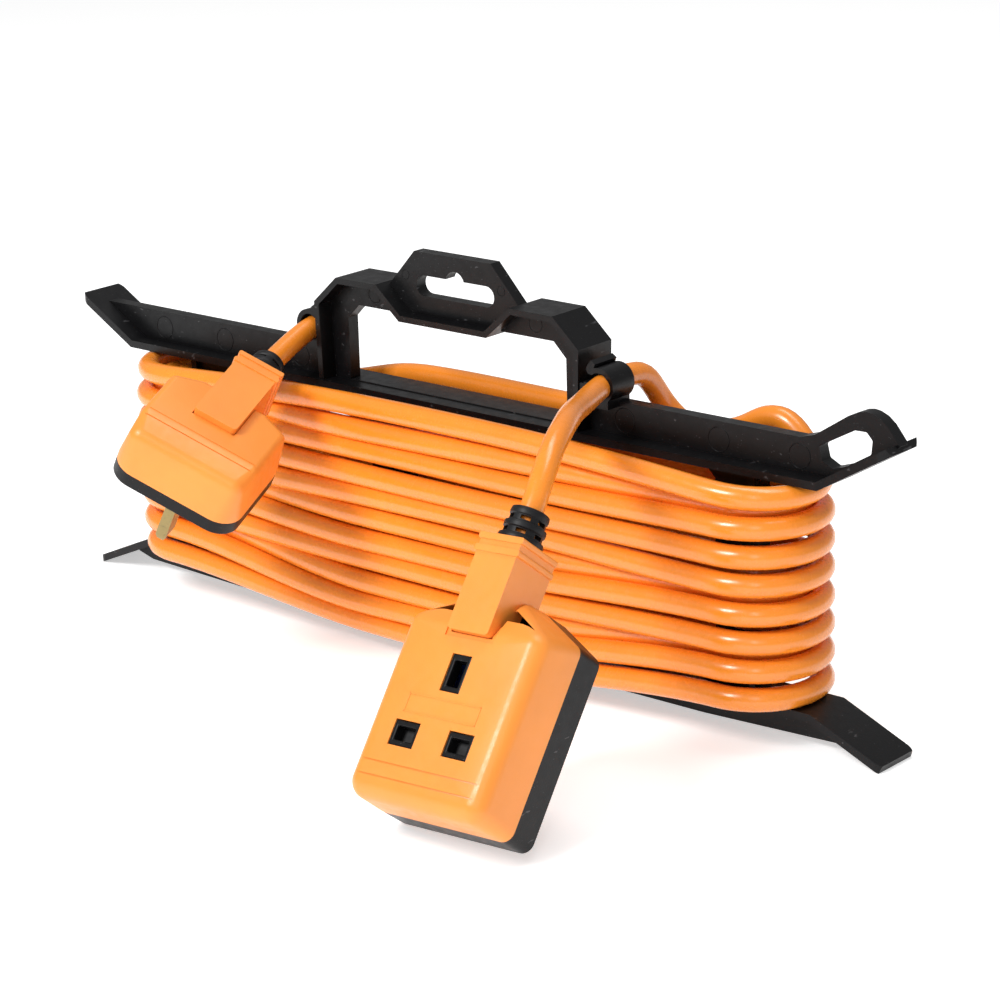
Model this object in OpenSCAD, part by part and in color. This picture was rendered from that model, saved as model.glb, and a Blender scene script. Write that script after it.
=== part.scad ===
// Mains extension lead wound on a flat H-shaped carrier frame, standing on the frame's four feet.
// X runs along the frame, Y across it, Z up from the floor. The socket and the plug stick out
// towards -Y from two clips beside the handle.

/* [Carrier frame] */
// Half length of the flat part of the upper flange
upper_bend_x = 162; // [158:0.5:164]
// Half length of the flat part of the lower flange
lower_bend_x = 159.6; // [156:0.5:162]
// Width of both flanges
flange_w = 20; // [19:0.1:20]
// Thickness of the flanges, horns and feet
plate_t = 2.8; // [2.4:0.1:3]
// Thickness of the webs and ribs
web_t = 5; // [4:0.2:6]
// Underside of the upper flange
upper_z = 92.9; // [92.5:0.1:94]
// Top of the lower flange
lower_z = 14.6; // [14:0.1:15]
// Angle at which the upper horns rise
horn_rise = 30; // [26:1:32]
// Length of the upper horns
horn_len = 31.5; // [30:0.5:33]
// Angle at which the feet fall
foot_fall = 23; // [21:0.5:25]

/* [Handle] */
// Half width of the handle over its posts
handle_half = 62.4; // [61:0.2:63]
// Width of the handle strip
handle_w = 18.3; // [16:0.1:19]
// Height of the handle's shoulders
handle_z = 135.4; // [134:0.2:137]
// Height of the hanging tab
tab_z = 148.2; // [146:0.2:150]

/* [Cable] */
// Outer diameter of the cable
cable_d = 8.2; // [8:0.1:8.3]
// Distance of the two cable clips from the middle
clip_x = 70.5; // [70:0.1:71]
// Height of the cable clips
clip_z = 113.5; // [113:0.1:114]

/* [Winding] */
// Centre of the round turn at the left end
turn_left_x = -131.5; // [-133:0.5:-130]
// Centre of the round turn at the right end
turn_right_x = 130.4; // [129:0.2:131]
// Radius of the inner layer's centreline at the ends
inner_turn_r = 14.4; // [14.4:0.1:15]
// Lowest and highest point of the winding along the sides
winding_low = 7; // [6:0.5:9]
winding_high = 98; // [96:0.5:99]

/* [Socket] */
// Half width of the socket
socket_half = 28; // [27:0.5:29]
// Lower edge of the socket, from the line and neutral holes
socket_low = -22; // [-23:0.5:-21.5]
// Depth of the orange cover
socket_cover_h = 20; // [20:0.5:21]
// Depth of the black back
socket_back_h = 11; // [11:0.5:12]

/* [Plug] */
// Half width of the plug
plug_half = 24.6; // [24.5:0.1:26]
// Height of the black base
plug_base_h = 5.2; // [5:0.1:5.6]
// Height of the cover's flat top above the underside
plug_top = 24.4; // [24:0.1:25]

/* [Hidden] */
$fn = 48;

black = "#1e1d20";
orange = "#fd9a46";
cable_orange = "#ff8a33";
brass = "#9a8550";
steel = "#b8babd";

// Frame: derived sizes
foot_len = (lower_z - plate_t * cos(foot_fall)) / sin(foot_fall);
upper_top = upper_z + plate_t;
upright_w = 2.6;

// Cable and clips
cable_r = cable_d / 2;
clip_bore_r = cable_r + 0.4;
clip_wall = 1.8;
outer_turn_r = inner_turn_r + cable_d;

// Standard 13 A pins: offset of earth and distance between line and neutral
pin_gap = 22.2;
pin_x = pin_gap / 2;
earth_pin_size = [3.97, 7.92, 22.7];
line_pin_size = [6.35, 3.97, 17.7];
shutter_travel = 5.5;

// Cord grip: a block round the cord, ending at y = 0 in its own frame with the cord on the y axis
grip_half = 8.3;
grip_low = -10.5;
grip_high = 9.3;
sheath_end = -29;

// Poses [rotation, position] of the socket and the plug, and their cord grips' end faces
socket_pose = [[52, -3, 0], [112.5, -145.5, 38]];
plug_pose = [[17, 27.5, 26.5], [-58.5, -78.5, 76.3]];
socket_grip_at = [0, 68.5, -6.5];
plug_grip_at = [0, 41.4, 18];
socket_grip_len = 33;
plug_grip_len = 40;
boot_out = 11.6;

// ---- Vector helpers ----
function unit(v) = v / norm(v);
function left_of(v) = [-v[1], v[0]];
function turned(a) = [
    [cos(a[2]) * cos(a[1]), cos(a[2]) * sin(a[1]) * sin(a[0]) - sin(a[2]) * cos(a[0]),
     cos(a[2]) * sin(a[1]) * cos(a[0]) + sin(a[2]) * sin(a[0])],
    [sin(a[2]) * cos(a[1]), sin(a[2]) * sin(a[1]) * sin(a[0]) + cos(a[2]) * cos(a[0]),
     sin(a[2]) * sin(a[1]) * cos(a[0]) - cos(a[2]) * sin(a[0])],
    [-sin(a[1]), cos(a[1]) * sin(a[0]), cos(a[1]) * cos(a[0])]
];
function placed(pose, p) = turned(pose[0]) * p + pose[1];

// A path moved sideways by d, and the closed outline between a path and its moved copy
function moved(p, d) = [
    for (i = [0 : len(p) - 1])
        let (before = unit(p[max(i, 1)] - p[max(i, 1) - 1]))
        let (after = i < len(p) - 1 ? unit(p[i + 1] - p[i]) : before)
        let (n = unit(left_of(before) + left_of(after)))
        p[i] + n * d / (n * left_of(before))
];
function backwards(p) = [for (i = [len(p) - 1 : -1 : 0]) p[i]];
function ribbon(p, t) = concat(p, backwards(moved(p, t)));
function mirrored(p) = [for (i = [len(p) - 1 : -1 : 0]) [-p[i][0], p[i][1]]];

// The direction square to an edge, and an outline with its corners rounded outwards in n steps
function edge_angle(a, b) = atan2(a[0] - b[0], b[1] - a[1]);
function softened(points, r, n) = [
    for (i = [0 : len(points) - 1])
        let (a = points[i])
        let (from = edge_angle(points[(i + len(points) - 1) % len(points)], a))
        let (next = edge_angle(a, points[(i + 1) % len(points)]))
        let (turn = next < from ? next + 360 - from : next - from)
            for (k = [0 : n])
                a + r * [cos(from + turn * k / n), sin(from + turn * k / n)]
];

// ---- Building blocks ----
// An outline in the X-Z plane, t thick in Y and centred on y = 0
module upright_plate(t) {
    rotate([90, 0, 0])
        linear_extrude(t, center = true)
            children();
}

// An outline with its corners rounded outwards by r
module rounded(points, r) {
    if (len(points) > 2)
        polygon(points);
    for (i = [0 : len(points) - 1]) {
        a = points[i];
        b = points[(i + 1) % len(points)];
        translate(a)
            circle(r);
        translate((a + b) / 2)
            rotate(atan2(b[1] - a[1], b[0] - a[0]))
                square([norm(b - a), 2 * r], center = true);
    }
}

// A box standing on z = 0 with its upright edges rounded
module slab(size, r) {
    linear_extrude(size[2])
        rounded([
            [size[0] / 2 - r, size[1] / 2 - r], [r - size[0] / 2, size[1] / 2 - r],
            [r - size[0] / 2, r - size[1] / 2], [size[0] / 2 - r, r - size[1] / 2]
        ], r);
}

// A round tube swept along a path of points
function sweep_axis(p, i) = unit(p[min(i + 1, len(p) - 1)] - p[max(i - 1, 0)]);
function sweep_side(axis) = unit(cross(axis, abs(axis[2]) < 0.9 ? [0, 0, 1] : [1, 0, 0]));
function next_side(side, axis) = unit(side - axis * (side * axis));
function sweep_sides(p, i = 0, side = undef) =
    let (axis = sweep_axis(p, i))
    let (here = is_undef(side) ? sweep_side(axis) : next_side(side, axis))
    i == len(p) - 1 ? [here] : concat([here], sweep_sides(p, i + 1, here));
module swept(p, d, n = 10) {
    sides = sweep_sides(p);
    last = len(p) - 1;
    points = [
        for (i = [0 : last])
            let (axis = sweep_axis(p, i))
            for (k = [0 : n - 1])
                p[i] + d / 2 * (cos(360 * k / n) * sides[i] + sin(360 * k / n) * cross(axis, sides[i]))
    ];
    walls = [
        for (i = [0 : last - 1])
            for (k = [0 : n - 1])
                [i * n + k, (i + 1) * n + k, (i + 1) * n + (k + 1) % n, i * n + (k + 1) % n]
    ];
    first_cap = [for (k = [0 : n - 1]) k];
    last_cap = [for (k = [n - 1 : -1 : 0]) last * n + k];
    polyhedron(points, concat([first_cap], walls, [last_cap]));
}

// ---- Carrier frame ----
function flange_path(bend_x, z, angle, length) =
    let (tip = [bend_x + length * cos(angle), z + length * sin(angle)])
    [[-tip[0], tip[1]], [-bend_x, z], [bend_x, z], tip];

module flanges() {
    upright_plate(flange_w)
        polygon(ribbon(flange_path(upper_bend_x, upper_z, horn_rise, horn_len), plate_t));
    upright_plate(flange_w)
        polygon(ribbon(flange_path(lower_bend_x, lower_z, -foot_fall, foot_len), -plate_t));
}

// Plan view that rounds the corners of the horns and feet
module flange_plan() {
    slab([2 * (upper_bend_x + horn_len * cos(horn_rise)), flange_w, 200], 4.2);
}

module lower_web() {
    upright_plate(web_t)
        polygon([
            [-173, 5.6], [-165, 3.4], [-110, 1.6], [110, 1.6], [165, 3.4], [173, 5.6],
            [170, 9], [160, 13.4], [-160, 13.4], [-170, 9]
        ]);
}

module left_upper_web() {
    upright_plate(web_t)
        polygon([[-61, 94], [-161.6, 94], [-179.5, 104.6], [-181.3, 107.3], [-61, 107.3]]);
}

// The right-hand web ends in a loop that stands on the horn
module right_upper_web() {
    upright_plate(web_t)
        difference() {
            polygon([
                [61, 94], [161.6, 94], [187.6, 108.9], [189.1, 110.7], [184.5, 116.4], [181.6, 118.7],
                [178.6, 119.9], [176.2, 120.2], [173.8, 119.8], [169.1, 117.7], [156, 109.2],
                [150.2, 107.5], [61, 107.3]
            ]);
            polygon(softened([
                [159.8, 101.6], [163.2, 99.9], [168.4, 101.6], [177.2, 106.8], [177.6, 110.6],
                [175.9, 112.4], [172, 112.3], [158.9, 105.2]
            ], 1, 3));
        }
}

function handle_path() =
    let (half = [
        [handle_half - 1.1, upper_z + 1], [handle_half, 125], [51, handle_z - 0.1],
        [31.4, handle_z], [19.8, 125.4]
    ])
    concat(half, mirrored(half));

module handle() {
    upright_plate(handle_w)
        polygon(ribbon(handle_path(), 2.2));
    // Rib inside the strip
    upright_plate(web_t)
        difference() {
            polygon(moved(handle_path(), 1));
            polygon([
                [-51.5, 80], [-51.5, 119], [-46, 124.4], [46, 124.4], [51.5, 119], [51.5, 80]
            ]);
        }
}

module hanging_tab() {
    upright_plate(web_t)
        difference() {
            polygon([
                [-31, 134], [-18, tab_z], [18, tab_z], [31, 134], [19.5, 124.6], [-19.5, 124.6]
            ]);
            rounded([[-13.5, 136], [15.5, 136]], 3.8);
            translate([1, 138.6])
                circle(4.4);
        }
}

// A tapering upright with corner gussets, from half width w at its middle to w + gusset
module upright(x, w, gusset) {
    middle = (upper_z + lower_z) / 2;
    reach = (upper_z - lower_z) / 2 + 1;
    upright_plate(web_t)
        translate([x, middle])
            polygon([
                [-w - gusset, reach], [w + gusset, reach], [w, reach - gusset], [w, gusset - reach],
                [w + gusset, -reach], [-w - gusset, -reach], [-w, gusset - reach], [-w, reach - gusset]
            ]);
}

module uprights() {
    for (side = [-1, 1])
        upright(side * 33.5, 9, 10);
    // The outer ones have a flat edge that carries the winding
    for (turn = [turn_left_x, turn_right_x]) {
        upright(turn - sign(turn) * 7, 8, 6.5);
        translate([turn + sign(turn) * 1.5, 0, (upper_z + lower_z) / 2])
            cube([upright_w, 8.8, upper_z - lower_z + 2], center = true);
    }
}

// Open ring that holds the cable, with a thumb lip beside the post
module clip(side, y_low, y_high) {
    r = clip_bore_r + clip_wall;
    translate([side * clip_x, (y_low + y_high) / 2, clip_z])
        mirror([side < 0 ? 1 : 0, 0, 0])
            upright_plate(y_high - y_low)
                difference() {
                    union() {
                        circle(r);
                        translate([-9.6, -8])
                            square([6, 8]);
                        translate([-4, -8])
                            square([8, 3.6]);
                        polygon([[-6.2, 2], [-4.9, 6.4], [-3.2, 8.6], [-1.4, 7.4], [-2.4, 5], [-3.4, 3.6]]);
                    }
                    circle(clip_bore_r);
                    polygon([[-7.4, 0.6], [-3.4, 0.6], [-2.8, 3.4], [-4.6, 3.8], [-7.4, 9]]);
                }
}

module carrier_frame() {
    color(black)
        intersection() {
            union() {
                flanges();
                lower_web();
                left_upper_web();
                right_upper_web();
                handle();
                hanging_tab();
                uprights();
                clip(1, -8.5, 3.5);
                clip(-1, -4, 8);
            }
            flange_plan();
        }
}

// ---- Cable ----
function socket_point(p) = placed(socket_pose, p + socket_grip_at);
function plug_point(p) = placed(plug_pose, p + plug_grip_at);

// From the socket up and over the right-hand clip to the back of the winding
socket_route = [
    socket_point([0, sheath_end, 0]), socket_point([0, -14, 0]), socket_point([0, 0, 0]),
    socket_point([0, 11, 0]), [107, -82, 106.5], [103, -72, 113], [98, -61, 115.5], [92, -51, 115.5],
    [86, -41, 114.5], [80, -30, 113], [75, -19, 112.5], [71, -9, 113.2], [70.5, -2, 113.5],
    [70.5, 4, 113.8], [70.6, 9, 114], [70.8, 14.2, 113.9], [71, 18.7, 110.8], [71.2, 22.2, 105.7],
    [71.8, 25.6, 100.4], [73.5, 28.3, 95.9], [79, 28.8, 92.5], [86, 27, 89.8]
];
// From the plug through the left-hand clip to the back of the winding
plug_route = [
    plug_point([0, sheath_end, 0]), plug_point([0, -14, 0]), plug_point([0, 0, 0]),
    plug_point([0, 12, 0]), [-67.5, -22, 107.6], [-69.2, -13, 110.2], [-70.3, -5, 112.6],
    [-70.5, 2, 113.5], [-70.6, 9, 113.6], [-72, 15, 111.5], [-77, 18.5, 105.5], [-85, 18.5, 99]
];

module socket_lead() {
    color(cable_orange)
        swept(socket_route, cable_d);
}

module plug_lead() {
    color(cable_orange)
        swept(plug_route, cable_d);
}

module stadium(r) {
    translate([(turn_left_x + turn_right_x) / 2, 0])
        square([turn_right_x - turn_left_x, 2 * r], center = true);
    for (x = [turn_left_x, turn_right_x])
        translate([x, 0])
            circle(r);
}

// The wound cable as one solid: a ring round the uprights and the fuller front and back
module cable_winding() {
    inside = inner_turn_r - cable_r;
    outside = outer_turn_r + cable_r;
    color(cable_orange)
        difference() {
            union() {
                translate([0, 0, lower_z + 0.6])
                    linear_extrude(upper_z - lower_z - 1.2)
                        stadium(outside);
                translate([turn_left_x, -outside, winding_low])
                    cube([turn_right_x - turn_left_x, 2 * outside, winding_high - winding_low]);
            }
            translate([0, 0, -1])
                linear_extrude(200)
                    stadium(inside);
        }
}

// ---- Parts that the socket and the plug share, in the cord grip's own frame ----
module cord_grip(length) {
    height = grip_high - grip_low;
    difference() {
        union() {
            translate([0, -length / 2, grip_low])
                slab([2 * grip_half, length, height - 0.5], 1.5);
            for (y = [-1.1, -5.3])
                translate([0, y, grip_low])
                    slab([2 * grip_half + 1.6, 2.2, height], 0.8);
        }
        // Bore of the cord, seat of the boot, slot of the clamp, room for the cores
        rotate([-90, 0, 0])
            translate([0, 0, -length - 1])
                cylinder(r = cable_r + 0.1, h = length + 2);
        rotate([-90, 0, 0])
            translate([0, 0, -16.2])
                cylinder(r = 6.7, h = 20);
        translate([-9, -27.6, grip_low - 1])
            cube([18, 7, 1 - cable_r - 0.1 - grip_low]);
        translate([-5.6, -length - 1, grip_low - 1])
            cube([11.2, length - 28.4, 5 - grip_low]);
        for (x = [-6.3, 6.3])
            translate([x, -24.1, grip_low - 1])
                cylinder(r = 1.25, h = 15);
    }
}

module boot() {
    rotate([-90, 0, 0])
        difference() {
            rotate_extrude()
                polygon([
                    [4.25, -16], [6.6, -16], [6.6, 0.1], [7.5, 0.1], [7.7, 1.1], [7.5, 2.1], [6.6, 2.5],
                    [6.5, 4.3], [7, 4.7], [7.1, 5.6], [7, 6.5], [6.1, 6.9], [6, 8.8], [6.4, 9.2],
                    [6.5, 10.2], [6.3, 11.3], [5.8, boot_out], [4.25, boot_out]
                ]);
            for (z = [3.4, 7.9])
                for (a = [0 : 60 : 300])
                    rotate([0, 0, a])
                        translate([5.6, 0, z])
                            cube([4, 3.4, 1.4], center = true);
        }
}

module cord_clamp() {
    difference() {
        translate([-8.2, -27.3, grip_low + 0.4])
            cube([16.4, 6.4, -cable_r - 0.1 - grip_low - 0.4]);
        for (x = [-6.3, 6.3])
            translate([x, -24.1, grip_low - 1])
                cylinder(r = 1.3, h = 15);
    }
}

module clamp_screws() {
    for (x = [-6.3, 6.3])
        translate([x, -24.1, grip_low - 1.4]) {
            cylinder(r = 1.2, h = 13);
            cylinder(r = 2.2, h = 1.7);
        }
}

module terminal(size, hole_y) {
    difference() {
        cube(size, center = true);
        rotate([90, 0, 0])
            cylinder(r = 1.6, h = hole_y, center = true);
        cylinder(r = 1.3, h = size[2]);
    }
}

module screw(r, length, head_r, head_h) {
    cylinder(r = r, h = length);
    cylinder(r = head_r, h = head_h);
}

// ---- Socket, in its own frame: face up at z = 0, cord towards +y ----
module in_socket() {
    translate(socket_pose[1])
        rotate(socket_pose[0])
            children();
}

module in_socket_grip() {
    in_socket()
        translate(socket_grip_at)
            children();
}

socket_outline = [[-24, -18], [24, -18], [24, 40], [8, 48], [-8, 48], [-24, 40]];
socket_inside = [[-24.4, -18.4], [24.4, -18.4], [24.4, 40], [10.5, 47], [-10.5, 47], [-24.4, 40]];
socket_screw_at = [[-22, -16], [22, -16], [21.6, 37.4], [-21.6, 37.4]];
socket_wall = 2.6;
insert_z = -4.4;
line_hole = [7.2, 4.6];
earth_hole = [4.6, 8.6];
line_collar = [10.1, 8.5];
earth_collar = [7.9, 12.5];

// The three pin positions: line on the right, neutral on the left, earth nearer the cord
module at_pins() {
    for (x = [-pin_x, pin_x])
        translate([x, 0, 0])
            children(0);
    translate([0, pin_gap, 0])
        children(1);
}

module socket_cover() {
    color(orange)
        in_socket()
            difference() {
                union() {
                    difference() {
                        hull() {
                            for (p = socket_outline)
                                translate([p[0], p[1], -socket_cover_h])
                                    cylinder(r = 4, h = 1, $fn = 32);
                            for (p = [[-22, -16, -6], [22, -16, -6], [22, 36, -6], [-22, 36, -6], [6, 46, -11], [-6, 46, -11]])
                                translate(p)
                                    sphere(6, $fn = 32);
                        }
                        translate([0, 0, -socket_cover_h - 1])
                            linear_extrude(socket_cover_h + 1 - socket_wall)
                                polygon(socket_inside);
                    }
                    for (p = socket_screw_at)
                        translate([p[0], p[1], -socket_cover_h])
                            cylinder(r = 3, h = socket_cover_h - socket_wall + 0.4);
                }
                // Window of the cord grip, apertures of the insert, pilot holes
                translate([-8.5, 35.3, -socket_cover_h - 1])
                    cube([17, 30, socket_cover_h + 10]);
                rotate([90, 0, 90])
                    linear_extrude(20, center = true)
                        polygon([
                            [33.8, -0.6], [36.3, -0.6], [46.6, -5.8], [49, -7.5], [50.8, -9.6], [51.3, -12],
                            [60, -12], [60, 6], [33.8, 6]
                        ]);
                at_pins() {
                    cube([line_collar[0] + 0.1, line_collar[1] + 0.1, 12], center = true);
                    cube([earth_collar[0] + 0.1, earth_collar[1] + 0.1, 12], center = true);
                }
                for (p = socket_screw_at)
                    translate([p[0], p[1], -socket_cover_h - 1])
                        cylinder(r = 1.5, h = 13);
            }
}

module socket_back() {
    color(black)
        in_socket()
            translate([0, 0, -socket_cover_h - socket_back_h])
                difference() {
                    union() {
                        difference() {
                            linear_extrude(socket_back_h)
                                polygon(softened(socket_outline, 4, 8));
                            translate([0, 0, socket_wall])
                                linear_extrude(socket_back_h)
                                    polygon(socket_inside);
                        }
                        for (p = socket_screw_at)
                            translate([p[0], p[1], 0.6])
                                cylinder(r = 3.4, h = socket_back_h - 1);
                        // Seats under the three contacts
                        for (x = [-pin_x, pin_x])
                            translate([x - 3, -2.5, 1])
                                cube([6, 5, 7]);
                        translate([-2.5, pin_gap - 3, 1])
                            cube([5, 6, 7]);
                    }
                    for (p = socket_screw_at)
                        translate([p[0], p[1], -1]) {
                            cylinder(r = 1.6, h = 20);
                            cylinder(r = 2.9, h = 4);
                        }
                }
}

module socket_cord_grip() {
    color(orange)
        in_socket_grip()
            cord_grip(socket_grip_len);
}

module socket_boot() {
    color(black)
        in_socket_grip()
            boot();
}

module socket_cord_clamp() {
    color(black)
        in_socket_grip()
            cord_clamp();
}

module socket_clamp_screws() {
    color(steel)
        in_socket_grip()
            clamp_screws();
}

// Plate with the three pin collars, and rails that guide the shutter
module socket_insert() {
    color(black)
        in_socket()
            difference() {
                union() {
                    translate([-18.6, -14, insert_z])
                        cube([37.2, 45, -socket_wall - insert_z]);
                    for (x = [-18.6, 17])
                        translate([x, -14, insert_z - 3.4])
                            cube([1.6, 45, 4]);
                    translate([-18.6, -14, insert_z - 4.4])
                        cube([37.2, 1.6, 5]);
                    translate([0, 0, insert_z])
                        at_pins() {
                            translate([-line_collar[0] / 2, -line_collar[1] / 2, 0])
                                cube([line_collar[0], line_collar[1], -insert_z - 0.3]);
                            translate([-earth_collar[0] / 2, -earth_collar[1] / 2, 0])
                                cube([earth_collar[0], earth_collar[1], -insert_z - 0.3]);
                        }
                }
                at_pins() {
                    cube([line_hole[0], line_hole[1], 20], center = true);
                    cube([earth_hole[0], earth_hole[1], 20], center = true);
                }
            }
}

// Sliding bar behind the line and neutral holes, with the ramp that the earth pin pushes
module socket_shutter() {
    color(black)
        in_socket()
            translate([0, 0, insert_z - 0.2]) {
                translate([-16.6, -3, -2.2])
                    cube([33.2, 6, 2.2]);
                translate([-2.6, 0, -2.2])
                    cube([5.2, 15, 2.2]);
                rotate([90, 0, 90])
                    translate([0, 0, -2.2])
                        linear_extrude(4.4)
                            polygon([[12, 0], [17.8, 0], [23.3, -5.5], [23.3, -5.9], [12, -5.9]]);
            }
}

spring_turns = 5;
module shutter_spring() {
    coil = [
        for (i = [0 : 12 * spring_turns])
            [1.3 * cos(30 * i), -12.1 + 8.8 * i / (12 * spring_turns), 1.3 * sin(30 * i)]
    ];
    color(steel)
        in_socket()
            translate([0, 0, insert_z - 2])
                swept(coil, 0.5, 6);
}

// Pin contact: two spring leaves on a foot, and the terminal at the end of the foot
module contact(leaf, along, terminal_at) {
    foot_low = -23;
    translate([-leaf[0] / 2, -leaf[1] / 2, foot_low])
        cube([leaf[0], leaf[1], 0.8]);
    for (s = [-1, 1])
        translate(along * s * 2.4)
            translate([0, 0, (foot_low - 11) / 2])
                cube([
                    along[0] > 0 ? 0.8 : leaf[0], along[1] > 0 ? 0.8 : leaf[1], -11 - foot_low
                ], center = true);
    translate([min(0, terminal_at[0]) - 1.5, min(0, terminal_at[1]), foot_low])
        cube([abs(terminal_at[0]) + 3, abs(terminal_at[1]), 0.8]);
    translate([terminal_at[0], terminal_at[1], foot_low + 3])
        terminal([6, 6, 6], 8);
}

line_terminal = [4.6, 10.5];
earth_terminal = [0, 9.4];

module socket_line_contact() {
    color(brass)
        in_socket()
            translate([pin_x, 0, 0])
                contact([7, 5.6], [0, 1, 0], line_terminal);
}

module socket_neutral_contact() {
    color(brass)
        in_socket()
            translate([-pin_x, 0, 0])
                mirror([1, 0, 0])
                    contact([7, 5.6], [0, 1, 0], line_terminal);
}

module socket_earth_contact() {
    color(brass)
        in_socket()
            translate([0, pin_gap, 0])
                contact([5.6, 7], [1, 0, 0], earth_terminal);
}

module socket_terminal_screws() {
    heads = [
        [pin_x + line_terminal[0], line_terminal[1]], [-pin_x - line_terminal[0], line_terminal[1]],
        [0, pin_gap + earth_terminal[1]]
    ];
    color(steel)
        in_socket()
            for (p = heads)
                translate([p[0], p[1], -14.6])
                    mirror([0, 0, 1])
                        screw(1.25, 3.8, 2.1, 1.4);
}

module socket_cover_screws() {
    color(steel)
        in_socket()
            for (p = socket_screw_at)
                translate([p[0], p[1], -socket_cover_h - socket_back_h + 1.2])
                    screw(1.45, 21, 2.7, 1.6);
}

// The cores run from the end of the sheath to the terminals
core_d = 2.4;
socket_core_start = [0, socket_grip_at[1] + sheath_end - 0.9, socket_grip_at[2]];

module core(points, shade) {
    color(shade)
        swept(points, core_d, 8);
}

module socket_line_core() {
    in_socket()
        core([
            socket_core_start + [2, 0, 0], [2.8, 36.2, -8.4], [6.2, 32.6, -12], [13, 26, -17],
            [15.6, 18, -19.8], [15.7, 13.6, -20]
        ], "#7a4a22");
}

module socket_neutral_core() {
    in_socket()
        core([
            socket_core_start - [2, 0, 0], [-2.8, 36.2, -8.4], [-6.2, 32.6, -12], [-13, 26, -17],
            [-15.6, 18, -19.8], [-15.7, 13.6, -20]
        ], "#2f62c8");
}

module socket_earth_core() {
    in_socket()
        core([
            socket_core_start - [0, 0, 2.2], [0, 37.2, -10.4], [0, 36.7, -14], [0, 36.3, -18],
            [0, 34.7, -20]
        ], "#5fae3c");
}

// ---- Plug, in its own frame: underside at z = 0, pins towards -z, cord towards +y ----
module in_plug() {
    translate(plug_pose[1])
        rotate(plug_pose[0])
            children();
}

module in_plug_grip() {
    in_plug()
        translate(plug_grip_at)
            children();
}

earth_pin_y = -9.5;
live_pin_y = earth_pin_y + pin_gap;
plug_corner_r = 9;
plug_outline = [
    [9 - plug_half, -13], [plug_half - 9, -13], [plug_half - 9, 14.5], [8.5, 19], [-8.5, 19],
    [9 - plug_half, 14.5]
];
plug_inside = [
    [-14, -18.5], [14, -18.5], [21.6, -11.6], [21.6, 18], [12, 25.2], [-12, 25.2], [-21.6, 18],
    [-21.6, -11.6]
];
plug_screw_at = [[-18, 18.6], [18, 18.6]];

module plug_base() {
    color(black)
        in_plug()
            difference() {
                union() {
                    difference() {
                        linear_extrude(plug_base_h)
                            polygon(softened(plug_outline, plug_corner_r, 10));
                        translate([0, 0, 2.4])
                            linear_extrude(plug_base_h)
                                polygon(plug_inside);
                    }
                    for (p = plug_screw_at)
                        translate([p[0], p[1], 0])
                            cylinder(r = 3, h = plug_base_h);
                }
                translate([-pin_x, live_pin_y, 0])
                    cube([7, 4.6, 12], center = true);
                translate([pin_x, live_pin_y, 0])
                    cube([7, 4.6, 12], center = true);
                translate([0, earth_pin_y, 0])
                    cube([earth_pin_size[0] + 0.1, earth_pin_size[1] + 0.1, 12], center = true);
                for (p = plug_screw_at)
                    translate([p[0], p[1], -1]) {
                        cylinder(r = 1.6, h = 20);
                        cylinder(r = 2.7, h = 3);
                    }
            }
}

module plug_cover() {
    color(orange)
        in_plug()
            difference() {
                union() {
                    difference() {
                        hull() {
                            for (p = plug_outline)
                                translate([p[0], p[1], plug_base_h])
                                    cylinder(r = plug_corner_r, h = 2, $fn = 32);
                            for (p = [[-20.4, -8], [20.4, -8], [20.4, 14], [12, 18], [-12, 18], [-20.4, 14]])
                                translate([p[0], p[1], plug_top - 3])
                                    sphere(3, $fn = 32);
                            for (x = [-18, 18])
                                translate([x, -15, plug_top - 6.8])
                                    sphere(5, $fn = 32);
                        }
                        hull() {
                            translate([0, 0, plug_base_h - 1])
                                linear_extrude(4)
                                    polygon(plug_inside);
                            translate([-20.9, -14, plug_base_h])
                                cube([41.8, 30, 9.4]);
                            translate([-18, -8, plug_base_h])
                                cube([36, 24, plug_top - plug_base_h - 2.6]);
                        }
                    }
                    for (p = plug_screw_at)
                        translate([p[0], p[1], plug_base_h])
                            cylinder(r = 2.8, h = 14);
                }
                translate([-8.5, 1.2, 6.8])
                    cube([17, 50, 40]);
                for (p = plug_screw_at)
                    translate([p[0], p[1], plug_base_h - 1])
                        cylinder(r = 1.5, h = 11);
            }
}

module plug_cord_grip() {
    color(orange)
        in_plug_grip()
            cord_grip(plug_grip_len);
}

module plug_boot() {
    color(black)
        in_plug_grip()
            boot();
}

module plug_cord_clamp() {
    color(black)
        in_plug_grip()
            cord_clamp();
}

module plug_clamp_screws() {
    color(steel)
        in_plug_grip()
            clamp_screws();
}

// A pin blade with a chamfered tip, reaching from z = -length up to z = top
module blade(size, top) {
    hull() {
        translate([-size[0] / 2, -size[1] / 2, 2 - size[2]])
            cube([size[0], size[1], size[2] + top - 2]);
        translate([0.8 - size[0] / 2, 0.8 - size[1] / 2, -size[2]])
            cube([size[0] - 1.6, size[1] - 1.6, 1]);
    }
}

pin_shoulder = 2.6;
head_z = 6;

module earth_pin() {
    color(brass)
        in_plug()
            translate([0, earth_pin_y, 0]) {
                blade(earth_pin_size, head_z);
                translate([0, 0.6, pin_shoulder + 5])
                    terminal([7, 9, 8], 12);
            }
}

module neutral_pin() {
    color(brass)
        in_plug()
            translate([pin_x, live_pin_y, 0]) {
                blade([line_pin_size[0], line_pin_size[1], line_pin_size[2]], pin_shoulder + 1);
                translate([-3.4, -2.5, pin_shoulder])
                    cube([11, 5, 1.2]);
                translate([4.2, -2.2, pin_shoulder + 4])
                    terminal([7, 8, 8], 12);
            }
}

module line_pin() {
    color(brass)
        in_plug()
            translate([-pin_x, live_pin_y, 0]) {
                blade([line_pin_size[0], line_pin_size[1], line_pin_size[2]], pin_shoulder + 1);
                translate([-8.6, -2.5, pin_shoulder])
                    cube([12, 5, 1.2]);
            }
}

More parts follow.
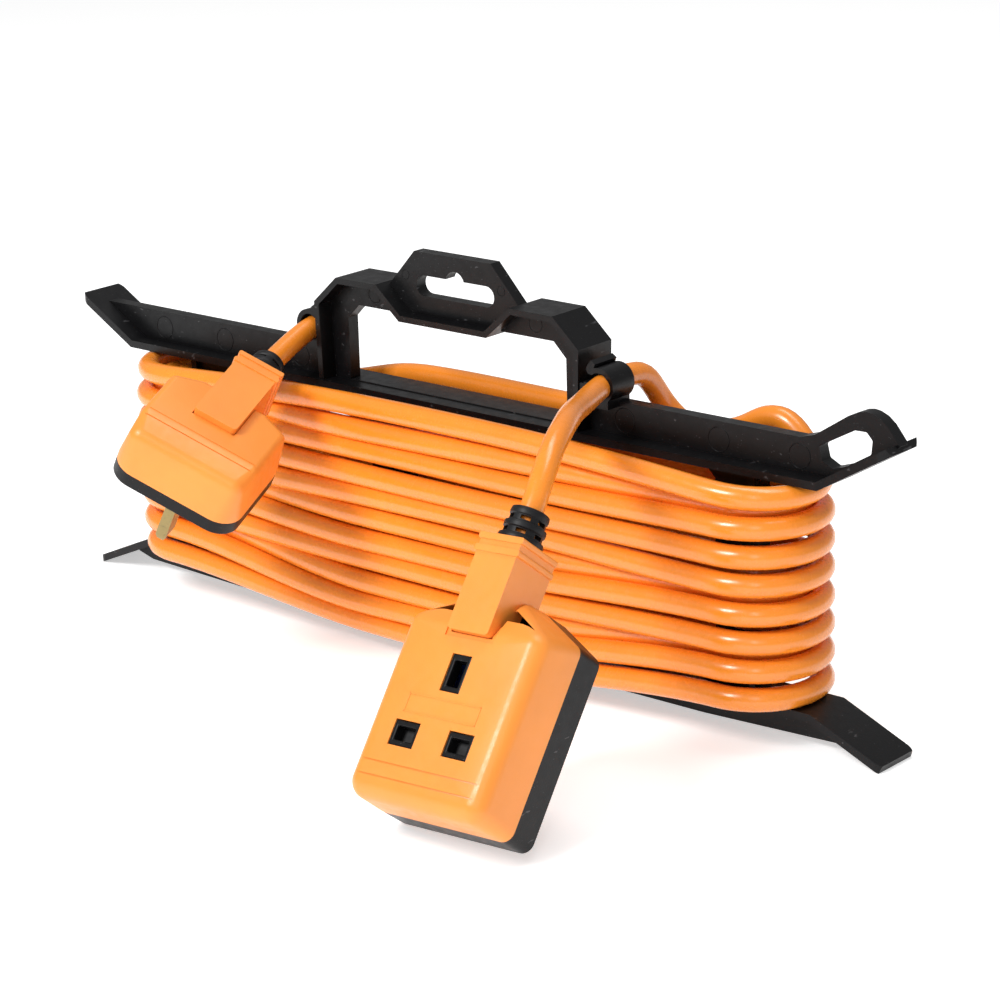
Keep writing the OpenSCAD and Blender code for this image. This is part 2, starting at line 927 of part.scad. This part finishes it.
// Insulating sleeves round the upper part of the line and neutral pins
module pin_sleeves() {
    color(black)
        in_plug()
            for (x = [-pin_x, pin_x])
                translate([x, live_pin_y, -9.5])
                    difference() {
                        translate([-3.45, -2.25, 0])
                            cube([6.9, 4.5, 11.8]);
                        translate([-line_pin_size[0] / 2, -line_pin_size[1] / 2, -1])
                            cube([line_pin_size[0], line_pin_size[1], 14]);
                    }
}

fuse_r = 3.175;
fuse_len = 25.4;
fuse_at = [-16.7, -0.6, 11.4];

module along_fuse() {
    translate(fuse_at)
        rotate([90, 0, 0])
            children();
}

module fuse() {
    color("white")
        in_plug()
            along_fuse() {
                cylinder(r = fuse_r - 0.3, h = fuse_len - 2, center = true);
                for (s = [-1, 1])
                    translate([0, 0, s * (fuse_len / 2 - 3)])
                        cylinder(r = fuse_r, h = 6, center = true);
            }
}

// Two open clips: one stands on the line pin, the other carries the line terminal
module fuse_clips() {
    color(brass)
        in_plug()
            for (s = [-1, 1])
                difference() {
                    union() {
                        translate([fuse_at[0] - 3.7, fuse_at[1] + s * 9.7 - 2.5, pin_shoulder + 1.2])
                            cube([7.4, 5, 9.4]);
                        if (s < 0)
                            translate([fuse_at[0] + 6.6, fuse_at[1] + s * 9.7, pin_shoulder + 4.2])
                                terminal([6, 6, 6], 8);
                    }
                    along_fuse()
                        cylinder(r = fuse_r + 0.03, h = 40, center = true);
                    translate([fuse_at[0] - 2.6, fuse_at[1] - 20, fuse_at[2]])
                        cube([5.2, 40, 10]);
                }
}

module plug_terminal_screws() {
    color(steel)
        in_plug() {
            translate([0, earth_pin_y + 0.6, pin_shoulder + 9.4])
                mirror([0, 0, 1])
                    screw(1.25, 2.6, 2, 0.35);
            translate([pin_x + 4.2, live_pin_y - 2.2, pin_shoulder + 8.4])
                mirror([0, 0, 1])
                    screw(1.25, 2.6, 2, 0.35);
            translate([fuse_at[0] + 6.6, fuse_at[1] - 9.7, pin_shoulder + 7.6])
                mirror([0, 0, 1])
                    screw(1.25, 2, 2, 0.35);
        }
}

module plug_cover_screws() {
    color(steel)
        in_plug()
            for (p = plug_screw_at)
                translate([p[0], p[1], 0.4])
                    screw(1.45, 12, 2.5, 1.5);
}

plug_core_start = [0, plug_grip_at[1] + sheath_end - 0.9, plug_grip_at[2]];

module plug_line_core() {
    in_plug()
        core([
            plug_core_start - [2, 0, 0], [-2, 7, 16], [-2.6, 1, 13], [-5, -3.4, 9.4],
            [-9, -5.4, 7.2], [-11, -7.2, 6.8]
        ], "#7a4a22");
}

module plug_neutral_core() {
    in_plug()
        core([
            plug_core_start + [2, 0, 0], [2, 7, 16], [3.2, 1.6, 13.2], [6.8, -1.2, 10.2],
            [11, -0.4, 8], [14, 2.6, 6.8], [15.3, 6.4, 6.6]
        ], "#2f62c8");
}

module plug_earth_core() {
    in_plug()
        core([
            plug_core_start - [0, 0, 2.2], [0, 7, 13.6], [0, 2, 10.6], [0, -2, 8.2], [0, -4.3, 7.6]
        ], "#5fae3c");
}

carrier_frame();
cable_winding();
socket_lead();
plug_lead();
socket_cover();
socket_back();
socket_cord_grip();
socket_boot();
socket_insert();
socket_shutter();
shutter_spring();
socket_line_contact();
socket_neutral_contact();
socket_earth_contact();
socket_terminal_screws();
socket_cord_clamp();
socket_clamp_screws();
socket_cover_screws();
socket_line_core();
socket_neutral_core();
socket_earth_core();
plug_cover();
plug_base();
plug_cord_grip();
plug_boot();
earth_pin();
line_pin();
neutral_pin();
pin_sleeves();
fuse();
fuse_clips();
plug_terminal_screws();
plug_cord_clamp();
plug_clamp_screws();
plug_cover_screws();
plug_line_core();
plug_neutral_core();
plug_earth_core();
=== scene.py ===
"""Mains extension lead wound on a black carrier frame, with its socket and its plug."""
import math

import bmesh
import bpy
from mathutils import Euler, Matrix, Vector


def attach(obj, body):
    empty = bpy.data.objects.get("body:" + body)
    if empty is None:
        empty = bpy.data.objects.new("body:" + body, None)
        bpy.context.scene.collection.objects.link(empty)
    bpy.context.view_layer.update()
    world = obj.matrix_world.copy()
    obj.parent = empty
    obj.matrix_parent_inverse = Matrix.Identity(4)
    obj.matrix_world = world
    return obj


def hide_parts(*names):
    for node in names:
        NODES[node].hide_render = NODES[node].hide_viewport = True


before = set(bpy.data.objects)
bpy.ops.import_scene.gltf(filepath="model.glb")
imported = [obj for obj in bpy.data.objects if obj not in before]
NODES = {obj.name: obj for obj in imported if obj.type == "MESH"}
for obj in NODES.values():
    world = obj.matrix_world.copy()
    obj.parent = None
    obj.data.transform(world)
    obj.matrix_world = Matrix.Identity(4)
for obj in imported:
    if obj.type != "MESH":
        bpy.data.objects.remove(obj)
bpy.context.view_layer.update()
BODY = "lead"
MM = 0.001


# ---- Camera ----
def place_camera():
    """The viewing angle of the picture of the object."""
    azimuth = math.radians(41.004)
    elevation = math.radians(17.401)
    roll = math.radians(-1.6255)
    distance = 1131.32
    right = Vector((math.cos(azimuth), math.sin(azimuth), 0))
    up = Vector((
        -math.sin(azimuth) * math.sin(elevation),
        math.cos(azimuth) * math.sin(elevation),
        math.cos(elevation),
    ))
    back = right.cross(up)
    location = Vector((0, 0, 92.9)) + back * distance + right * 12.996 + up * -33.963
    turned_right = right * math.cos(roll) + up * math.sin(roll)
    turned_up = up * math.cos(roll) - right * math.sin(roll)
    data = bpy.data.cameras.new("camera")
    data.sensor_width = 36
    data.lens = 113.447
    camera = bpy.data.objects.new("camera", data)
    bpy.context.scene.collection.objects.link(camera)
    axes = Matrix((turned_right, turned_up, back)).transposed().to_4x4()
    camera.matrix_world = Matrix.Translation(location * MM) @ axes
    bpy.context.scene.camera = camera


# ---- Poses of the socket and the plug, in millimetres ----
def pose(angles, position):
    """Place of a loose piece: its turns about X, Y and Z in degrees, then its position."""
    turn = Euler([math.radians(a) for a in angles], "XYZ").to_matrix().to_4x4()
    return Matrix.Translation(position) @ turn


SOCKET = pose((52, -3, 0), (112.5, -145.5, 38))
PLUG = pose((17, 27.5, 26.5), (-58.5, -78.5, 76.3))
SOCKET_GRIP = SOCKET @ Matrix.Translation((0, 68.5, -6.5))
PLUG_GRIP = PLUG @ Matrix.Translation((0, 41.4, 18))


# ---- The cord's route, in millimetres ----
CORD_D = 8.2
TURN_LEFT = -131.5
TURN_RIGHT = 130.4
OUTER_R = 22.6
INNER_R = 14.4
PITCH = 8.25
TOP_ROW_Z = 85.2
LOWEST_ROW_Z = 18.8
INNER_TOP_Z = 84
INNER_LOWEST_Z = 20.5

# A turn runs along the back, round the right end, along the front and round the left end
BACK_END = 0.4
RIGHT_END = 0.5
FRONT_END = 0.9


def smooth(low, high, value):
    t = min(1, max(0, (value - low) / (high - low)))
    return t * t * (3 - 2 * t)


def mix(a, b, t):
    return a + (b - a) * t


def around(turn, radius):
    """Point of the plan at that count of turns: back, right end, front, left end."""
    part = turn % 1
    if part < BACK_END:
        return mix(TURN_LEFT, TURN_RIGHT, part / BACK_END), radius
    if part < RIGHT_END:
        angle = math.pi * (part - BACK_END) / (RIGHT_END - BACK_END)
        return TURN_RIGHT + radius * math.sin(angle), radius * math.cos(angle)
    if part < FRONT_END:
        return mix(TURN_RIGHT, TURN_LEFT, (part - RIGHT_END) / (FRONT_END - RIGHT_END)), -radius
    angle = math.pi * (part - FRONT_END) / (1 - FRONT_END)
    return TURN_LEFT - radius * math.sin(angle), -radius * math.cos(angle)


# At the ends the rows keep between the flanges, so these ones sink behind their neighbours
SUNK_ROWS = {0: 83.4, 4: 53.8, 7: 33.8}
END_ROWS = {1: 78.6, 2: 68.7, 3: 58.9, 5: 48.7, 6: 38.8, 8: 28.8, 9: LOWEST_ROW_Z}
SUNK_DEPTH = 6.4


def row_shape(row, at_end):
    """Height, sunk depth and outward offset of a row of the outer layer."""
    row = max(row, 0)
    middle = TOP_ROW_Z - PITCH * row
    end = SUNK_ROWS.get(row) or END_ROWS.get(row, LOWEST_ROW_Z)
    depth = SUNK_DEPTH if row in SUNK_ROWS else 0
    offset = 1.3 if row in (2, 5, 8) else 0
    return Vector((mix(middle, end, at_end), depth * at_end, offset * (1 - at_end)))


def wound(turn):
    """A point of the outer layer. Rows step down while they cross the back."""
    x = around(turn, OUTER_R)[0]
    at_end = smooth(25, 134, abs(x))
    row = math.floor(turn)
    step = min(1, turn % 1 / BACK_END)
    z, depth, offset = row_shape(row - 1, at_end).lerp(row_shape(row, at_end), step)
    x, y = around(turn, OUTER_R - depth)
    y -= offset * smooth(0, 1, -y / OUTER_R)
    loose = 1 - at_end
    z += loose * 0.45 * math.sin(x * 0.021 + row * 2.4)
    y += loose * 0.5 * math.sin(x * 0.027 + row * 1.7)
    return Vector((x, y, z))


def inner(turn, radius, z):
    """A point of the inner layer, which closes up round the frame's uprights at the ends."""
    x = around(turn, radius)[0]
    at_end = smooth(60, 134, abs(x))
    x, y = around(turn, radius - 4.6 * at_end)
    return Vector((x, y, z))


def turn_steps(first, last):
    """Counts of turns from first to last, close together round the ends."""
    turn = first
    while turn < last - 0.001:
        yield turn
        part = turn % 1
        curved = 0.385 < part < 0.51 or part > 0.885 or part < 0.012
        turn += (RIGHT_END - BACK_END) / 26 if curved else BACK_END / 30
    yield last


def through(points, step=3.5):
    """A smooth line along the points, with its ends on the first and the last."""
    line = []
    for i in range(len(points) - 1):
        before = points[max(i - 1, 0)]
        a, b = points[i], points[i + 1]
        after = points[min(i + 2, len(points) - 1)]
        reach = (b - a).length
        out = (b - before).normalized() * reach
        into = (after - a).normalized() * reach
        count = max(2, round(reach / step))
        for k in range(count):
            t = k / count
            line.append(
                a * (2 * t ** 3 - 3 * t ** 2 + 1) + out * (t ** 3 - 2 * t ** 2 + t)
                + b * (3 * t ** 2 - 2 * t ** 3) + into * (t ** 3 - t ** 2)
            )
    line.append(points[-1])
    for _ in range(5):
        middle = [(a + 2 * b + c) / 4 for a, b, c in zip(line, line[1:], line[2:])]
        line = [line[0], *middle, line[-1]]
    return line


def vectors(points):
    return [Vector(p) for p in points]


def cord_route():
    # From the socket, through the right-hand clip and over the back of the frame
    start = [SOCKET_GRIP @ Vector((0, y, 0)) for y in (-18, -9, 0, 11)]
    route = start + vectors([
        (107, -82, 106.5), (103, -72, 113), (98, -61, 115.5), (92, -51, 115.5), (86, -41, 114.5),
        (80, -30, 113), (75, -19, 112.5), (71, -9, 113.2), (70.5, -2, 113.5), (70.5, 4, 113.8),
        (70.6, 9, 114), (70.8, 14.2, 113.9), (71, 18.7, 110.8), (71.2, 22.2, 105.7),
        (71.8, 25.6, 100.4), (73.5, 28.3, 95.9), (79, 28.8, 92.5), (86, 27, 89.8), (93, 24.4, 87.5),
    ])
    joined = len(route) + 2
    # Outer layer downwards, then a few open turns of the inner layer upwards
    outer_end = 9.9
    inner_start = 10.1
    inner_end = 14
    route += [wound(turn) for turn in turn_steps(0.355, outer_end)]
    for turn in list(turn_steps(outer_end, inner_start))[1:]:
        t = smooth(outer_end, inner_start, turn)
        route.append(inner(turn, mix(OUTER_R + 4.6, INNER_R, t), mix(LOWEST_ROW_Z, INNER_LOWEST_Z, t)))
    for turn in list(turn_steps(inner_start, inner_end))[1:]:
        rise = (turn - inner_start) / (inner_end - inner_start)
        route.append(inner(turn, INNER_R, mix(INNER_LOWEST_Z, INNER_TOP_Z, rise)))
    # Last turn: along the back above the flange, a hump, then round under the flange
    last = vectors([
        (-118, 12.2, 84.2), (-100, 14.3, 84.8), (-80, 14.8, 86.4), (-62, 17, 90), (-45, 19.5, 94),
        (-25, 20, 95), (0, 20, 95.2), (30, 20, 95), (60, 20, 95), (85, 20, 95.1), (98, 20, 95.4),
        (106, 20, 96.6), (111.4, 20, 99), (116.4, 20, 102.4), (121, 20, 104.6), (125.2, 20, 105.2),
        (129.7, 20, 104.4), (133.8, 20, 101.4), (137.2, 19.7, 97), (141.5, 18.8, 93),
        (146, 16, 90.4), (150.2, 10.5, 88.9), (152.7, 4, 88.5), (152.8, -3.5, 88.5),
        (150.6, -10.5, 88.5), (146.5, -16, 88.7), (140, -20.6, 89), (131, -22.6, 89.6),
        (115, -22.8, 90.7), (90, -22.8, 92.2), (55, -22.8, 93.6), (10, -22.8, 94.1),
        (-30, -22.8, 93.9), (-60, -22.8, 93.2), (-90, -22.8, 91.8), (-115, -22.8, 90.2),
        (-131, -22.6, 89.2), (-140.5, -20.7, 88.8), (-147.5, -15.9, 88.6), (-152, -9.2, 88.5),
        (-154, -1, 88.5), (-153, 7, 88.5), (-149, 14.2, 88.6), (-142.5, 19.7, 88.8),
        (-133, 22.5, 89.2), (-120, 22, 90), (-108, 20.4, 91.6), (-98, 19, 93.8), (-91, 18.5, 96.4),
        (-85, 18.4, 100), (-77, 18.5, 105.5), (-72, 15, 111.5), (-70.6, 9, 113.6),
        (-70.5, 2, 113.5), (-70.3, -5, 112.6), (-69.2, -13, 110.2), (-67.5, -22, 107.6),
    ])
    last += [PLUG_GRIP @ Vector((0, y, 0)) for y in (12, 0, -9, -18)]
    lead_in = through(route[:joined])
    lead_out = through([route[-1]] + last)
    return lead_in + route[joined:-1] + lead_out


def link(name, data):
    piece = bpy.data.objects.new(name, data)
    bpy.context.scene.collection.objects.link(piece)
    return piece


def make_cord(material):
    """The whole cord as one piece, and its length in metres."""
    route = cord_route()
    curve = bpy.data.curves.new("cable", "CURVE")
    curve.dimensions = "3D"
    curve.bevel_depth = CORD_D / 2 * MM
    curve.bevel_resolution = 5
    curve.use_fill_caps = True
    line = curve.splines.new("POLY")
    line.points.add(len(route) - 1)
    for point, place in zip(line.points, route):
        point.co = (*(place * MM), 1)
    line.use_smooth = True
    curve.materials.append(material)
    length = sum((b - a).length for a, b in zip(route, route[1:])) * MM
    return link("cable", curve), length


# ---- Materials ----
def value_node(nodes, kind, **settings):
    node = nodes.new(kind)
    for key, value in settings.items():
        if hasattr(node, key):
            setattr(node, key, value)
        else:
            node.inputs[key.replace("_", " ")].default_value = value
    return node


def noise(tree, scale, detail=3.0, stretch=None):
    """A noise over the object's own metres, scale in bumps a metre."""
    nodes, links = tree.nodes, tree.links
    place = nodes.new("ShaderNodeTexCoord")
    source = place.outputs["Object"]
    if stretch:
        mapping = nodes.new("ShaderNodeMapping")
        mapping.inputs["Scale"].default_value = stretch
        links.new(source, mapping.inputs["Vector"])
        source = mapping.outputs["Vector"]
    texture = value_node(nodes, "ShaderNodeTexNoise", Scale=scale, Detail=detail)
    links.new(source, texture.inputs["Vector"])
    return texture.outputs["Fac"]


def ranged(tree, source, low, high, to_low, to_high):
    node = tree.nodes.new("ShaderNodeMapRange")
    for name, value in zip(("From Min", "From Max", "To Min", "To Max"), (low, high, to_low, to_high)):
        node.inputs[name].default_value = value
    tree.links.new(source, node.inputs["Value"])
    return node.outputs["Result"]


def blended(tree, factor, first, second):
    """Mix of two colours, each a tuple or a socket."""
    node = tree.nodes.new("ShaderNodeMix")
    node.data_type = "RGBA"
    tree.links.new(factor, node.inputs["Factor"])
    for name, colour in (("A", first), ("B", second)):
        place = [i for i in node.inputs if i.name == name and i.type == "RGBA"][0]
        if isinstance(colour, tuple):
            place.default_value = (*colour, 1)
        else:
            tree.links.new(colour, place)
    return [o for o in node.outputs if o.type == "RGBA"][0]


def shaded(colour, factor):
    return tuple(min(1, c * factor) for c in colour)


def surface(
    name, colour, roughness, grain=2200, depth=0.2, bumps=0.0, metallic=0.0, specular=0.5,
    marks=None, coat=0.0,
):
    """A moulded or metal surface: broad tone variation, fine grain, uneven gloss and small marks.

    grain is in bumps a metre, depth is the grain's strength, bumps is the strength of a slower
    unevenness, and marks is (colour, amount) of small scuffs."""
    material = bpy.data.materials.new(name)
    material.use_nodes = True
    tree = material.node_tree
    shader = tree.nodes["Principled BSDF"]
    links = tree.links
    shader.inputs["Metallic"].default_value = metallic
    shader.inputs["Specular IOR Level"].default_value = specular
    shader.inputs["Coat Weight"].default_value = coat
    shader.inputs["Coat Roughness"].default_value = 0.25
    tone = ranged(tree, noise(tree, 38, 4), 0.3, 0.7, 0, 1)
    base = blended(tree, tone, shaded(colour, 0.93), shaded(colour, 1.05))
    gloss = ranged(tree, noise(tree, 320, 4), 0.3, 0.7, roughness - 0.05, roughness + 0.07)
    if marks:
        mark_colour, amount = marks
        scuffs = ranged(tree, noise(tree, 420, 6, (1, 0.35, 1.6)), 0.66 - amount, 0.72, 0, 0.55)
        base = blended(tree, scuffs, base, mark_colour)
        dust = ranged(tree, noise(tree, 1500, 1), 0.74 - amount / 2, 0.78, 0, 0.5)
        base = blended(tree, dust, base, mark_colour)
    links.new(base, shader.inputs["Base Color"])
    links.new(gloss, shader.inputs["Roughness"])
    fine = value_node(tree.nodes, "ShaderNodeBump", Strength=depth, Distance=0.0002)
    links.new(noise(tree, grain, 2), fine.inputs["Height"])
    if bumps:
        broad = value_node(tree.nodes, "ShaderNodeBump", Strength=bumps, Distance=0.0006)
        links.new(noise(tree, 140, 2), broad.inputs["Height"])
        links.new(broad.outputs["Normal"], fine.inputs["Normal"])
    links.new(fine.outputs["Normal"], shader.inputs["Normal"])
    return material


MATERIALS = {
    "black_plastic": surface(
        "moulded_black_plastic", (0.004, 0.0039, 0.0045), 0.36, grain=1700, depth=0.16, bumps=0.06,
        specular=0.24, marks=((0.1, 0.1, 0.105), -0.02),
    ),
    "orange_plastic": surface(
        "textured_orange_plastic", (0.96, 0.31, 0.045), 0.36, grain=2100, depth=0.26, specular=0.55,
    ),
    "cable_sheath": surface(
        "orange_cable_sheath", (0.95, 0.28, 0.022), 0.25, grain=1500, depth=0.03, bumps=0.06,
        specular=0.7, coat=0.15,
    ),
    "black_rubber": surface(
        "black_rubber", (0.007, 0.007, 0.008), 0.45, grain=1600, depth=0.12, specular=0.3,
    ),
    "shutter_plastic": surface("dark_shutter_plastic", (0.02, 0.02, 0.021), 0.38, depth=0.1),
    "brass": surface(
        "dull_brass", (0.32, 0.25, 0.11), 0.38, grain=1200, depth=0.08, metallic=1.0,
        marks=((0.16, 0.13, 0.07), 0.1),
    ),
    "steel": surface("bright_steel", (0.52, 0.53, 0.54), 0.32, depth=0.06, metallic=1.0),
    "fuse_ceramic": surface("fuse_ceramic", (0.78, 0.76, 0.7), 0.45, depth=0.08),
    "brown_core": surface("brown_core", (0.16, 0.06, 0.02), 0.42, depth=0.05),
    "blue_core": surface("blue_core", (0.03, 0.11, 0.5), 0.42, depth=0.05),
    "earth_core": surface("green_and_yellow_core", (0.16, 0.4, 0.05), 0.42, depth=0.05),
}


# ---- Visible shells: the CAD shapes with their mould radii ----
def clean_mesh(source, name):
    """A copy of a CAD mesh with whole flat faces."""
    mesh = bpy.data.meshes.new(name)
    work = bmesh.new()
    work.from_mesh(source.data)
    bmesh.ops.remove_doubles(work, verts=work.verts, dist=0.000004)
    bmesh.ops.dissolve_limit(
        work, angle_limit=math.radians(0.6), verts=work.verts, edges=work.edges
    )
    work.to_mesh(mesh)
    work.free()
    for layer in ("custom_normal", "sharp_face", "sharp_edge"):
        if layer in mesh.attributes:
            mesh.attributes.remove(mesh.attributes[layer])
    return mesh


def give_radii(piece, width, segments=2, angle=32):
    bevel = piece.modifiers.new("mould_radii", "BEVEL")
    bevel.width = width * MM
    bevel.segments = segments
    bevel.limit_method = "ANGLE"
    bevel.angle_limit = math.radians(angle)
    bevel.harden_normals = True
    bevel.use_clamp_overlap = True
    piece.data.shade_smooth()
    piece.data.set_sharp_from_angle(angle=math.radians(angle))


def cut(piece, cutter):
    """Takes the cutter's volume out of the piece."""
    tool = bpy.data.objects.new("cutter", cutter)
    bpy.context.scene.collection.objects.link(tool)
    change = piece.modifiers.new("grooves", "BOOLEAN")
    change.operation = "DIFFERENCE"
    change.solver = "EXACT"
    change.object = tool
    bpy.context.view_layer.update()
    graph = bpy.context.evaluated_depsgraph_get()
    result = bpy.data.meshes.new_from_object(piece.evaluated_get(graph))
    piece.modifiers.remove(change)
    piece.data = result
    bpy.data.objects.remove(tool)


def shell(node, slot, width, grooves=None, segments=2):
    """The visible stand-in for a CAD node, with edges rounded by the width in millimetres."""
    piece = link(node + "_shell", clean_mesh(NODES[node], node + "_shell"))
    if grooves:
        cut(piece, grooves)
    piece.data.materials.clear()
    piece.data.materials.append(MATERIALS[slot])
    give_radii(piece, width, segments)
    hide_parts(node)
    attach(piece, BODY)
    return piece


# ---- Small mesh shapes, in millimetres ----
def add_box(work, low, high, place=Matrix()):
    made = bmesh.ops.create_cube(work, size=1)["verts"]
    low, high = Vector(low), Vector(high)
    size = Matrix.Diagonal((*(high - low), 1))
    bmesh.ops.transform(work, matrix=place @ Matrix.Translation((low + high) / 2) @ size, verts=made)


def add_ring(work, centre, radius, tube, place=Matrix(), around=40, across=8):
    """A thin torus whose axis is Y."""
    rows = []
    for i in range(around):
        a = 2 * math.pi * i / around
        out = Vector((math.cos(a), 0, math.sin(a)))
        rows.append([
            work.verts.new(place @ (
                Vector(centre) + out * (radius + tube * math.cos(2 * math.pi * k / across))
                + Vector((0, tube * math.sin(2 * math.pi * k / across), 0))
            ))
            for k in range(across)
        ])
    for i in range(around):
        here, there = rows[i], rows[(i + 1) % around]
        for k in range(across):
            n = (k + 1) % across
            work.faces.new((here[k], there[k], there[n], here[n]))


def finished(work, name):
    bmesh.ops.recalc_face_normals(work, faces=work.faces)
    mesh = bpy.data.meshes.new(name)
    work.to_mesh(mesh)
    work.free()
    mesh.transform(Matrix.Scale(MM, 4))
    return mesh


def trim(work, name, slot, width=0.0):
    """A small piece of trim of the given slot. A width rounds its edges."""
    piece = link(name, finished(work, name))
    piece.data.materials.append(MATERIALS[slot])
    if width:
        give_radii(piece, width)
    else:
        piece.data.shade_smooth()
    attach(piece, BODY)
    return piece


def socket_grooves():
    work = bmesh.new()
    for y in (-10.3, -15):
        add_box(work, (-29, y - 0.25, -0.35), (29, y + 0.25, 2), SOCKET)
    return finished(work, "socket_grooves")


def plug_grooves():
    work = bmesh.new()
    for y, floor_z in ((-7.2, 24.12), (-10.4, 23.45)):
        add_box(work, (-26, y - 0.2, floor_z), (26, y + 0.2, 27), PLUG)
    return finished(work, "plug_grooves")


def label_frame():
    """Raised outline of the blank label between the pin holes."""
    work = bmesh.new()
    low_x, high_x, low_y, high_y, line = -14.8, 14.8, 7, 13.4, 0.45
    for y in (low_y, high_y - line):
        add_box(work, (low_x, y, -0.3), (high_x, y + line, 0.16), SOCKET)
    for x in (low_x, high_x - line):
        add_box(work, (x, low_y, -0.3), (x + line, high_y, 0.16), SOCKET)
    return trim(work, "socket_label_frame", "orange_plastic", 0.08)


def ejector_marks():
    work = bmesh.new()
    for side in (-1, 1):
        for x in (77, 117, 150):
            for y in (-2.5, 2.5):
                add_ring(work, (side * x, y, 101), 4.3, 0.16)
        for y in (-2.5, 2.5):
            add_ring(work, (side * 38, y, 129.3), 2.9, 0.14)
            add_ring(work, (side * 22.5, y, 139), 1.7, 0.12)
    return trim(work, "ejector_marks", "black_plastic")


def flange_band():
    """Low band along the upper flange between the handle's posts."""
    work = bmesh.new()
    add_box(work, (-50.5, -3.4, 95.4), (50.5, 3.4, 96.1))
    return trim(work, "flange_band", "black_plastic", 0.25)


# ---- The rest of the CAD nodes ----
KEPT = {
    "shutter_plastic": ("socket_shutter",),
    "steel": (
        "shutter_spring", "socket_terminal_screws", "socket_clamp_screws", "socket_cover_screws",
        "plug_terminal_screws", "plug_clamp_screws", "plug_cover_screws",
    ),
    "brass": ("socket_line_contact", "socket_neutral_contact", "socket_earth_contact", "fuse_clips"),
    "black_plastic": ("socket_cord_clamp", "plug_cord_clamp", "pin_sleeves"),
    "fuse_ceramic": ("fuse",),
    "brown_core": ("socket_line_core", "plug_line_core"),
    "blue_core": ("socket_neutral_core", "plug_neutral_core"),
    "earth_core": ("socket_earth_core", "plug_earth_core"),
}


def paint_kept_nodes():
    for slot, names in KEPT.items():
        for name in names:
            for place in NODES[name].material_slots:
                place.material = MATERIALS[slot]


# ---- Stage ----
def area_light(name, location, target, size, power):
    data = bpy.data.lights.new(name, "AREA")
    data.shape = "RECTANGLE"
    data.size, data.size_y = size
    data.energy = power
    lamp = link(name, data)
    lamp.location = location
    aim = Vector(target) - Vector(location)
    lamp.rotation_euler = aim.to_track_quat("-Z", "Y").to_euler()


def make_stage():
    mesh = bpy.data.meshes.new("floor")
    half = 9
    corners = ((-half, -half, 0), (half, -half, 0), (half, half, 0), (-half, half, 0))
    mesh.from_pydata([Vector(c) for c in corners], [], [(0, 1, 2, 3)])
    floor = link("floor", mesh)
    material = bpy.data.materials.new("pale_floor")
    material.use_nodes = True
    shader = material.node_tree.nodes["Principled BSDF"]
    shader.inputs["Base Color"].default_value = (0.92, 0.92, 0.92, 1)
    shader.inputs["Roughness"].default_value = 0.9
    shader.inputs["Specular IOR Level"].default_value = 0
    shader.inputs["Emission Color"].default_value = (1, 1, 1, 1)
    shader.inputs["Emission Strength"].default_value = 0.5
    mesh.materials.append(material)
    scene = bpy.context.scene
    world = bpy.data.worlds.new("studio")
    world.use_nodes = True
    world.node_tree.nodes["Background"].inputs["Color"].default_value = (1, 1, 1, 1)
    world.node_tree.nodes["Background"].inputs["Strength"].default_value = 0.33
    scene.world = world
    scene.view_settings.view_transform = "Standard"
    aim = (0, 0, 0.06)
    area_light("key", (-0.2, -1.3, 1.25), aim, (0.5, 0.5), 21)
    area_light("edge", (0.95, -1.2, 0.9), aim, (0.14, 0.9), 2.6)
    area_light("top", (0.1, 0.3, 1.6), aim, (1.3, 0.5), 9)


# ---- Assembly ----
place_camera()
cable, cable_length = make_cord(MATERIALS["cable_sheath"])
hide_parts("cable_winding", "socket_lead", "plug_lead")
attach(cable, BODY)

shell("carrier_frame", "black_plastic", 0.5)
shell("socket_cover", "orange_plastic", 0.35, socket_grooves())
shell("socket_back", "black_plastic", 0.5)
shell("socket_insert", "black_plastic", 0.55, segments=3)
shell("socket_cord_grip", "orange_plastic", 0.4)
shell("socket_boot", "black_rubber", 0.2)
plug_pieces = [
    shell("plug_cover", "orange_plastic", 0.35, plug_grooves()),
    shell("plug_base", "black_plastic", 0.45),
    shell("plug_cord_grip", "orange_plastic", 0.4),
    shell("plug_boot", "black_rubber", 0.2),
    shell("earth_pin", "brass", 0.3),
    shell("line_pin", "brass", 0.3),
    shell("neutral_pin", "brass", 0.3),
]
paint_kept_nodes()
label_frame()
ejector_marks()
flange_band()

make_stage()
